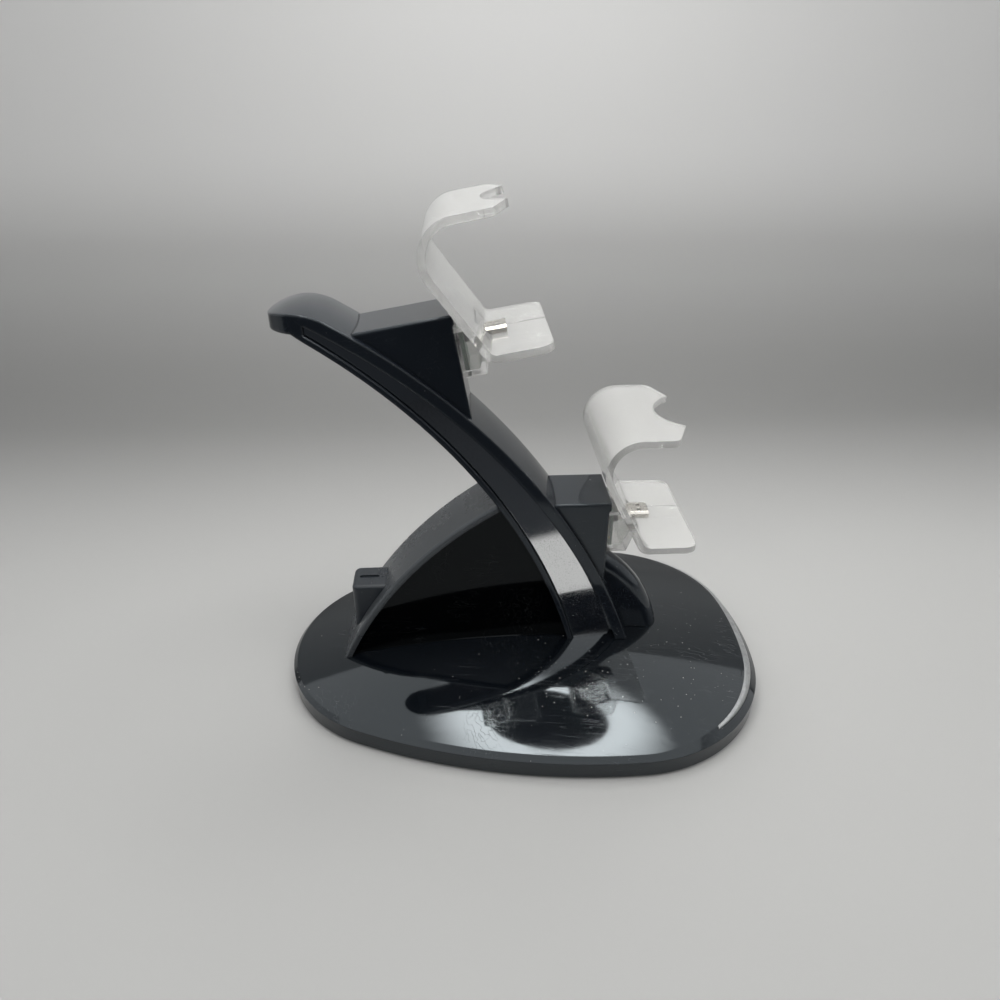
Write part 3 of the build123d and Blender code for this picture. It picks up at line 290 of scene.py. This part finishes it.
def gloss_plastic(name, finish, rgb, dust, scratches, low, high, radius, ior):
    """Polished black plastic with dust, hairlines, softened edges and a painted highlight along them."""
    made, tree, shader = material(name)
    specks = effect(tree, "Settled dust", Amount=dust)["Mask"]
    lines = effect(tree, "Hairlines", Amount=scratches)["Mask"]
    edge = effect(tree, "Soft edge", Radius=radius)
    haze = effect(tree, "Handling haze", Low=low, High=high)["Roughness"]
    shader.inputs["IOR"].default_value = ior
    shader.inputs["Specular Tint"].default_value = solid(finish.gloss_tint)
    # Painted highlight: the edge mask mixes a paler, cool tone into the colour along every edge.
    highlit = mix(tree, maths(tree, "MULTIPLY", edge["Mask"], 0.25), solid(rgb), solid(finish.painted_edge_highlight))
    scored = mix(tree, maths(tree, "MULTIPLY", lines, 0.22), highlit, solid(finish.scratch))
    join(tree, mix(tree, specks, scored, solid(finish.dust)), shader.inputs["Base Color"])
    rough = maths(tree, "ADD", haze, maths(tree, "MULTIPLY", lines, 0.18))
    join(tree, maths(tree, "ADD", rough, maths(tree, "MULTIPLY", specks, 0.6), clamp=True), shader.inputs["Roughness"])
    relief(tree, shader, maths(tree, "SUBTRACT", specks, lines), 0.008 * MM, edge["Normal"])
    return made


def grained_plastic(name, finish, rgb, rough, scale, depth):
    """Unpolished moulded plastic or rubber, with a painted highlight along its edges."""
    made, tree, shader = material(name)
    grain = effect(tree, "Moulded grain", Scale=scale)["Height"]
    specks = effect(tree, "Settled dust", Amount=finish.dust_share)["Mask"]
    edge = effect(tree, "Soft edge", Radius=finish.edge_radius)
    haze = effect(tree, "Handling haze", Low=rough - 0.08, High=rough + 0.08)["Roughness"]
    # Painted highlight: along the edges the colour is mixed half way towards a 2.2 times paler tone.
    pale = solid([min(1.0, c * 2.2) for c in rgb])
    tint = mix(tree, maths(tree, "MULTIPLY", edge["Mask"], 0.5), solid(rgb), pale)
    join(tree, mix(tree, specks, tint, solid(finish.dust)), shader.inputs["Base Color"])
    join(tree, haze, shader.inputs["Roughness"])
    relief(tree, shader, grain, depth, edge["Normal"])
    return made


def bright_metal(name, finish, rgb, low, high, dust, scratches, pits=0.0):
    """Plated metal with smudges, specks, hairlines and fine pits."""
    made, tree, shader = material(name)
    specks = effect(tree, "Settled dust", Amount=dust, Cells=1500.0)["Mask"]
    lines = effect(tree, "Hairlines", Amount=scratches, Scale=900.0)["Mask"]
    edge = effect(tree, "Soft edge", Radius=0.2 * MM)
    haze = effect(tree, "Handling haze", Low=low, High=high, Scale=120.0)["Roughness"]
    shader.inputs["Metallic"].default_value = 1.0
    dull = solid([c * 0.6 for c in rgb])
    where = places(tree)
    pitted = maths(tree, "MULTIPLY", ramp(tree, noise(tree, where, 3400.0, 2.0), 0.52, 0.64),
                   ramp(tree, noise(tree, where, 70.0, 2.0), 0.35, 0.65, 0.4 * pits, pits))
    marks = maths(tree, "MULTIPLY_ADD", lines, 0.5, pitted, clamp=True)
    tint = mix(tree, marks, solid(rgb), dull)
    join(tree, mix(tree, specks, tint, solid(finish.dust)), shader.inputs["Base Color"])
    join(tree, maths(tree, "MULTIPLY_ADD", marks, 0.25, haze), shader.inputs["Roughness"])
    relief(tree, shader, maths(tree, "SUBTRACT", specks, lines), 0.01 * MM, edge["Normal"])
    return made


def clear_plastic(name, finish):
    """Clear moulded plastic, faintly hazed, with hairlines from use."""
    made, tree, shader = material(name)
    lines = effect(tree, "Hairlines", Amount=0.8, Scale=800.0)["Mask"]
    edge = effect(tree, "Soft edge", Radius=0.15 * MM)
    haze = effect(tree, "Handling haze", Low=0.05, High=0.12)["Roughness"]
    tint = mix(tree, maths(tree, "MULTIPLY", lines, 0.12), solid(finish.clear),
               solid(finish.clear_scratch))
    join(tree, tint, shader.inputs["Base Color"])
    join(tree, maths(tree, "MULTIPLY_ADD", lines, 0.3, haze), shader.inputs["Roughness"])
    shader.inputs["IOR"].default_value = 1.49
    shader.inputs["Transmission Weight"].default_value = 0.83
    relief(tree, shader, maths(tree, "MULTIPLY", lines, -1.0), 0.01 * MM, edge["Normal"])
    return made


def crescent_silver(name, finish):
    """Metallised plastic with a fine hammered grain and many scratches."""
    made, tree, shader = material(name)
    grain = effect(tree, "Moulded grain", Scale=1500.0)["Height"]
    lines = effect(tree, "Hairlines", Amount=1.0, Scale=1100.0, Stretch=0.06)["Mask"]
    edge = effect(tree, "Soft edge", Radius=0.25 * MM)
    mottle = ramp(tree, noise(tree, places(tree), 420.0, 4.0, 0.65), 0.35, 0.7)
    dark = solid([c * 0.55 for c in finish.silver])
    tint = mix(tree, maths(tree, "MULTIPLY", mottle, 0.45), solid(finish.silver), dark)
    tint = mix(tree, maths(tree, "MULTIPLY", lines, 0.4), tint, solid(finish.bright_scratch))
    join(tree, tint, shader.inputs["Base Color"])
    shader.inputs["Metallic"].default_value = 0.55
    join(tree, maths(tree, "MULTIPLY_ADD", mottle, 0.15, 0.38), shader.inputs["Roughness"])
    relief(tree, shader, maths(tree, "SUBTRACT", grain, lines), 0.012 * MM, edge["Normal"])
    return made


def circuit_board(name, finish):
    """Solder mask over tracks, with plated pads."""
    made, tree, shader = material(name)
    where = places(tree)
    grid = put(tree, "ShaderNodeTexBrick", {"Vector": where, "Scale": 420.0, "Mortar Size": 0.03,
                                            "Color1": (0, 0, 0, 1), "Color2": (0, 0, 0, 1),
                                            "Mortar": (1, 1, 1, 1)}, offset=0.37).outputs["Color"]
    track = put(tree, "ShaderNodeSeparateColor", {"Color": grid}).outputs[0]
    dots = put(tree, "ShaderNodeTexVoronoi", {"Vector": where, "Scale": 480.0, "Randomness": 0.6}).outputs["Distance"]
    pad = maths(tree, "LESS_THAN", dots, 0.16)
    pale = solid([min(1.0, c * 1.9 + 0.01) for c in finish.board])
    tint = mix(tree, maths(tree, "MULTIPLY", track, 0.8), solid(finish.board), pale)
    join(tree, mix(tree, pad, tint, solid(finish.copper)), shader.inputs["Base Color"])
    join(tree, maths(tree, "MULTIPLY", pad, 0.9), shader.inputs["Metallic"])
    join(tree, effect(tree, "Handling haze", Low=0.28, High=0.42)["Roughness"], shader.inputs["Roughness"])
    relief(tree, shader, maths(tree, "ADD", track, pad), 0.02 * MM)
    return made


def lamp_lens(name, finish):
    """Milky lens of a small lamp."""
    made, tree, shader = material(name)
    cloud = ramp(tree, noise(tree, places(tree), 1800.0, 3.0), 0.3, 0.7)
    deep = solid([c * 0.75 for c in finish.lamp])
    join(tree, mix(tree, cloud, solid(finish.lamp), deep), shader.inputs["Base Color"])
    join(tree, effect(tree, "Handling haze", Low=0.15, High=0.3)["Roughness"], shader.inputs["Roughness"])
    shader.inputs["Subsurface Weight"].default_value = 0.2
    return made


def tent_cloth(name, rgb, wave, shade=None):
    """Pale cloth or card of the stage, with a slow change of tone and, if asked, a shade by place."""
    made, tree, shader = material(name)
    slow = ramp(tree, noise(tree, places(tree), 5.0, 2.0), 0.3, 0.7)
    dim = solid([c * (1.0 - wave) for c in rgb])
    tone = mix(tree, slow, solid(rgb), dim)
    if shade is not None:
        tone = shade(tree, tone)
    join(tree, tone, shader.inputs["Base Color"])
    shader.inputs["Roughness"].default_value = 0.9
    shader.inputs["Specular IOR Level"].default_value = 0.1
    return made


def painted_sheet_shading(stage, rgb):
    """Painted light and shade on the sheet: painted shade ahead of the dock, pale under it, painted shade at the foot
    of the wall, paler painted light high up.
    """
    def shade(tree, tone):
        spot = put(tree, "ShaderNodeSeparateXYZ", {"Vector": places(tree)}).outputs
        # Painted shade: darker towards the back and the foot of the wall.
        foot = solid([c * stage.foot_shade for c in rgb])
        tone = mix(tree, ramp(tree, spot["Y"], stage.shade_start, stage.shade_end), tone, foot)
        # Painted light: paler up the wall.
        tone = mix(tree, ramp(tree, spot["Z"], 0.0, stage.wall_z), tone, solid(stage.wall))
        # Painted shade: dark ahead of the dock, beyond the front edge.
        ahead = ramp(tree, spot["Y"], stage.front_y, stage.front_y - stage.fade_y)
        return mix(tree, ahead, tone, solid(stage.front))
    return shade


def lamp_cloth(name, stage):
    """The lit panel above the dock: bright round its hole, fading outwards."""
    made, tree, shader = material(name)
    flat = put(tree, "ShaderNodeVectorMath", {0: places(tree), 1: (1.0, 1.0, 0.0)}, operation="MULTIPLY").outputs[0]
    middle = (stage.lamp_x, stage.lamp_y, 0.0)
    reach = put(tree, "ShaderNodeVectorMath", {0: flat, 1: middle}, operation="DISTANCE").outputs["Value"]
    fade = ramp(tree, reach, *[span * stage.lamp_hole for span in GLOW_SPAN])
    faint = stage.roof_power / stage.lamp_power
    glow = mix(tree, fade, (1.0, 0.995, 0.98, 1.0), (faint, faint, faint, 1.0))
    shader.inputs["Base Color"].default_value = (0.0, 0.0, 0.0, 1.0)
    shader.inputs["Roughness"].default_value = 1.0
    shader.inputs["Specular IOR Level"].default_value = 0.0
    join(tree, glow, shader.inputs["Emission Color"])
    shader.inputs["Emission Strength"].default_value = stage.lamp_power
    return made


def dress(made, *nodes):
    """Gives a finish to solids by name."""
    for name in nodes:
        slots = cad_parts[name].data.materials
        slots.clear()
        slots.append(made)


# Stage meshes

def mesh_object(name, build, made, smooth=False):
    """A stage object from a function that fills a bmesh."""
    data = bpy.data.meshes.new(name)
    shape = bmesh.new()
    build(shape)
    shape.to_mesh(data)
    shape.free()
    for face in data.polygons:
        face.use_smooth = smooth
    data.materials.append(made)
    placed = bpy.data.objects.new(name, data)
    bpy.context.scene.collection.objects.link(placed)
    return placed


def sheet_profile(stage):
    """The pale sheet from the side: flat floor, round cove, upright back."""
    turns = 12
    line = [(-stage.reach, 0.0)]
    for step in range(turns + 1):
        a = step / turns * pi / 2
        line.append((stage.back_y - stage.cove + stage.cove * sin(a), stage.cove * (1.0 - cos(a))))
    line.append((stage.back_y, stage.roof_z))
    return line


def swept_sheet(stage):
    def build(shape):
        rows = []
        for y, z in sheet_profile(stage):
            rows.append([shape.verts.new((side * stage.reach, y, z)) for side in (-1, 1)])
        for low, high in zip(rows, rows[1:]):
            shape.faces.new((low[0], low[1], high[1], high[0]))
    return build


def lamp_roof(stage):
    """The lamp panel as a ring: a round hole inside, as wide as the sheet outside."""
    def build(shape):
        turns = 64
        radii = [ring * stage.lamp_hole for ring in PANEL_RINGS] + [stage.reach]
        rings = []
        for radius in radii:
            spots = [(stage.lamp_x + radius * cos(2 * pi * i / turns), stage.lamp_y + radius * sin(2 * pi * i / turns))
                     for i in range(turns)]
            rings.append([shape.verts.new((x, y, stage.roof_z)) for x, y in spots])
        for inner, outer in zip(rings, rings[1:]):
            for i in range(turns):
                j = (i + 1) % turns
                shape.faces.new((inner[i], inner[j], outer[j], outer[i]))
    return build


def room_light(name, stage):
    """Soft light from the sides, with a dim room in front and above."""
    made = bpy.data.worlds.new(name)
    made.use_nodes = True
    tree = made.node_tree
    way = put(tree, "ShaderNodeSeparateXYZ", {"Vector": tree.nodes.new("ShaderNodeTexCoord").outputs["Generated"]})
    front = ramp(tree, way.outputs["Y"], *FRONT_SPAN)
    tone = mix(tree, front, solid(stage.sides), solid(stage.front))
    tone = mix(tree, ramp(tree, way.outputs["Z"], *ABOVE_SPAN), tone, solid(stage.above))
    join(tree, tone, tree.nodes["Background"].inputs["Color"])
    return made


# Operators

class DOCK_OT_effects(bpy.types.Operator):
    """Build the shared surface effects"""
    bl_idname = "dock.effects"
    bl_label = "Shared effects"
    bl_options = {"REGISTER", "UNDO"}

    def execute(self, context):
        for build in (settled_dust, hairlines, soft_edge, handling_haze, moulded_grain):
            build()
        return {"FINISHED"}


class DOCK_OT_base(bpy.types.Operator):
    """Finish the base shell"""
    bl_idname = "dock.base"
    bl_label = "Base"
    bl_options = {"REGISTER", "UNDO"}

    def execute(self, context):
        finish = context.scene.dock_finish
        shell = gloss_plastic("base_gloss", finish, finish.base_black, finish.dust_share, finish.scratch_share,
                              0.035, 0.075, finish.edge_radius, 1.62)
        dress(shell, "base_shell")
        return {"FINISHED"}


class DOCK_OT_arm(bpy.types.Operator):
    """Finish the arm, its blocks, the leg and the fin"""
    bl_idname = "dock.arm"
    bl_label = "Arm and fin"
    bl_options = {"REGISTER", "UNDO"}

    def execute(self, context):
        finish = context.scene.dock_finish
        dust = 0.5 * finish.dust_share
        scratches = 0.5 * finish.scratch_share
        arm = gloss_plastic("arm_gloss", finish, finish.gloss_black, dust, scratches, 0.06, 0.12,
                            finish.arm_edge_radius, 1.52)
        dress(arm, "arm_shell", "upper_block", "lower_block", "front_leg")
        spine = gloss_plastic("spine_satin", finish, finish.spine_black, dust, scratches, 0.24, 0.34,
                              finish.arm_edge_radius, 1.6)
        dress(spine, "fin_spine")
        # Painted shade: the fin's sides get a darker copy of the arm's black.
        side = gloss_plastic("fin_gloss", finish, finish.fin_shaded_black, dust, scratches, 0.03, 0.07,
                             finish.arm_edge_radius, 1.26)
        dress(side, "fin_panel_left", "fin_panel_right")
        return {"FINISHED"}


class DOCK_OT_inlet(bpy.types.Operator):
    """Finish the power inlet"""
    bl_idname = "dock.inlet"
    bl_label = "Power inlet"
    bl_options = {"REGISTER", "UNDO"}

    def execute(self, context):
        finish = context.scene.dock_finish
        dress(grained_plastic("inlet_satin", finish, finish.satin_black, 0.32, 3200.0, 0.008 * MM), "inlet_housing")
        dress(bright_metal("socket_nickel", finish, finish.nickel, 0.18, 0.3, 0.1, 0.4), "inlet_socket")
        dress(grained_plastic("tongue_black", finish, finish.matt_black, 0.5, 3000.0, 0.01 * MM), "inlet_tongue")
        return {"FINISHED"}


class DOCK_OT_trim(bpy.types.Operator):
    """Finish the bright strips on the arm and the crescent in the rim"""
    bl_idname = "dock.trim"
    bl_label = "Bright trim"
    bl_options = {"REGISTER", "UNDO"}

    def execute(self, context):
        finish = context.scene.dock_finish
        chrome = bright_metal("trim_chrome", finish, finish.chrome, 0.03, 0.07, 0.5, 0.15, 0.45)
        dress(chrome, "arm_trim_left", "arm_trim_right")
        dress(crescent_silver("crescent_silver", finish), "light_window")
        return {"FINISHED"}


class DOCK_OT_cradles(bpy.types.Operator):
    """Finish the clear cradles"""
    bl_idname = "dock.cradles"
    bl_label = "Clear cradles"
    bl_options = {"REGISTER", "UNDO"}

    def execute(self, context):
        finish = context.scene.dock_finish
        dress(clear_plastic("cradle_clear", finish), "upper_cradle", "lower_cradle")
        return {"FINISHED"}


class DOCK_OT_plugs(bpy.types.Operator):
    """Finish the charging plugs and the boards that carry them"""
    bl_idname = "dock.plugs"
    bl_label = "Charging plugs"
    bl_options = {"REGISTER", "UNDO"}

    def execute(self, context):
        finish = context.scene.dock_finish
        shell = bright_metal("plug_nickel", finish, finish.nickel, 0.2, 0.34, 0.1, 0.5)
        core = grained_plastic("plug_core_black", finish, finish.matt_black, 0.45, 3000.0, 0.01 * MM)
        board = circuit_board("plug_board_green", finish)
        for level in ("upper", "lower"):
            dress(shell, level + "_plug_shell")
            dress(core, level + "_plug_core", level + "_plug_collar")
            dress(board, level + "_plug_board")
        return {"FINISHED"}


class DOCK_OT_underside(bpy.types.Operator):
    """Finish the covers, feet and screws"""
    bl_idname = "dock.underside"
    bl_label = "Covers, feet and screws"
    bl_options = {"REGISTER", "UNDO"}

    def execute(self, context):
        finish = context.scene.dock_finish
        cover = grained_plastic("cover_matt", finish, finish.matt_black, 0.55, 1800.0, 0.03 * MM)
        dress(cover, "base_cover", "arm_under_cover")
        dress(grained_plastic("foot_rubber", finish, finish.rubber, 0.8, 1500.0, 0.04 * MM), "rubber_feet")
        dress(bright_metal("screw_steel", finish, finish.steel, 0.25, 0.4, 0.1, 0.6), "base_screws")
        return {"FINISHED"}


class DOCK_OT_boards(bpy.types.Operator):
    """Finish the boards, chips and lamps inside the base"""
    bl_idname = "dock.boards"
    bl_label = "Inside"
    bl_options = {"REGISTER", "UNDO"}

    def execute(self, context):
        finish = context.scene.dock_finish
        dress(circuit_board("main_board_green", finish), "main_board", "light_board")
        dress(grained_plastic("chip_epoxy", finish, finish.matt_black, 0.5, 4000.0, 0.008 * MM), "board_chips")
        dress(lamp_lens("lamp_lens", finish), "light_leds")
        sleeve = grained_plastic("lead_sleeve", finish, finish.rubber, 0.5, 2200.0, 0.01 * MM)
        dress(sleeve, "power_lead", "light_lead", "upper_lead", "lower_lead")
        return {"FINISHED"}


class DOCK_OT_stage(bpy.types.Operator):
    """Build the pale sheet, the lamp panel, the room light and the camera"""
    bl_idname = "dock.stage"
    bl_label = "Stage"
    bl_options = {"REGISTER", "UNDO"}

    def execute(self, context):
        scene = context.scene
        stage = scene.dock_stage
        sheet = tent_cloth("sheet_pale", stage.floor, 0.03, painted_sheet_shading(stage, stage.floor))
        mesh_object("tent_sheet", swept_sheet(stage), sheet, smooth=True)
        mesh_object("tent_roof", lamp_roof(stage), lamp_cloth("cloth_lit", stage))
        lens = bpy.data.cameras.new("camera")
        lens.lens = stage.lens
        lens.clip_start = 0.01
        camera = bpy.data.objects.new("camera", lens)
        camera.location = (stage.camera_x, stage.camera_y, stage.camera_z)
        camera.rotation_euler = (pi / 2 - stage.pitch, 0.0, -stage.yaw)
        scene.collection.objects.link(camera)
        scene.camera = camera
        scene.world = room_light("room", stage)
        scene.view_settings.view_transform = "Standard"
        return {"FINISHED"}


OPERATORS = (DOCK_OT_effects, DOCK_OT_base, DOCK_OT_arm, DOCK_OT_inlet, DOCK_OT_trim, DOCK_OT_cradles,
             DOCK_OT_plugs, DOCK_OT_underside, DOCK_OT_boards, DOCK_OT_stage)


class DOCK_PT_panel(bpy.types.Panel):
    """Lists the dock's pieces and the stage"""
    bl_idname = "DOCK_PT_panel"
    bl_label = "Charging dock"
    bl_space_type = "VIEW_3D"
    bl_region_type = "UI"
    bl_category = "Dock"

    def draw(self, context):
        for operator in OPERATORS:
            self.layout.operator(operator.bl_idname)


CLASSES = (DockFinish, DockStage, *OPERATORS, DOCK_PT_panel)


def register():
    for cls in CLASSES:
        bpy.utils.register_class(cls)
    bpy.types.Scene.dock_finish = bpy.props.PointerProperty(type=DockFinish)
    bpy.types.Scene.dock_stage = bpy.props.PointerProperty(type=DockStage)


def unregister():
    del bpy.types.Scene.dock_stage
    del bpy.types.Scene.dock_finish
    for cls in reversed(CLASSES):
        bpy.utils.unregister_class(cls)


def main():
    register()
    for operator in OPERATORS:
        family, name = operator.bl_idname.split(".")
        getattr(getattr(bpy.ops, family), name)()


if __name__ == "__main__":
    main()
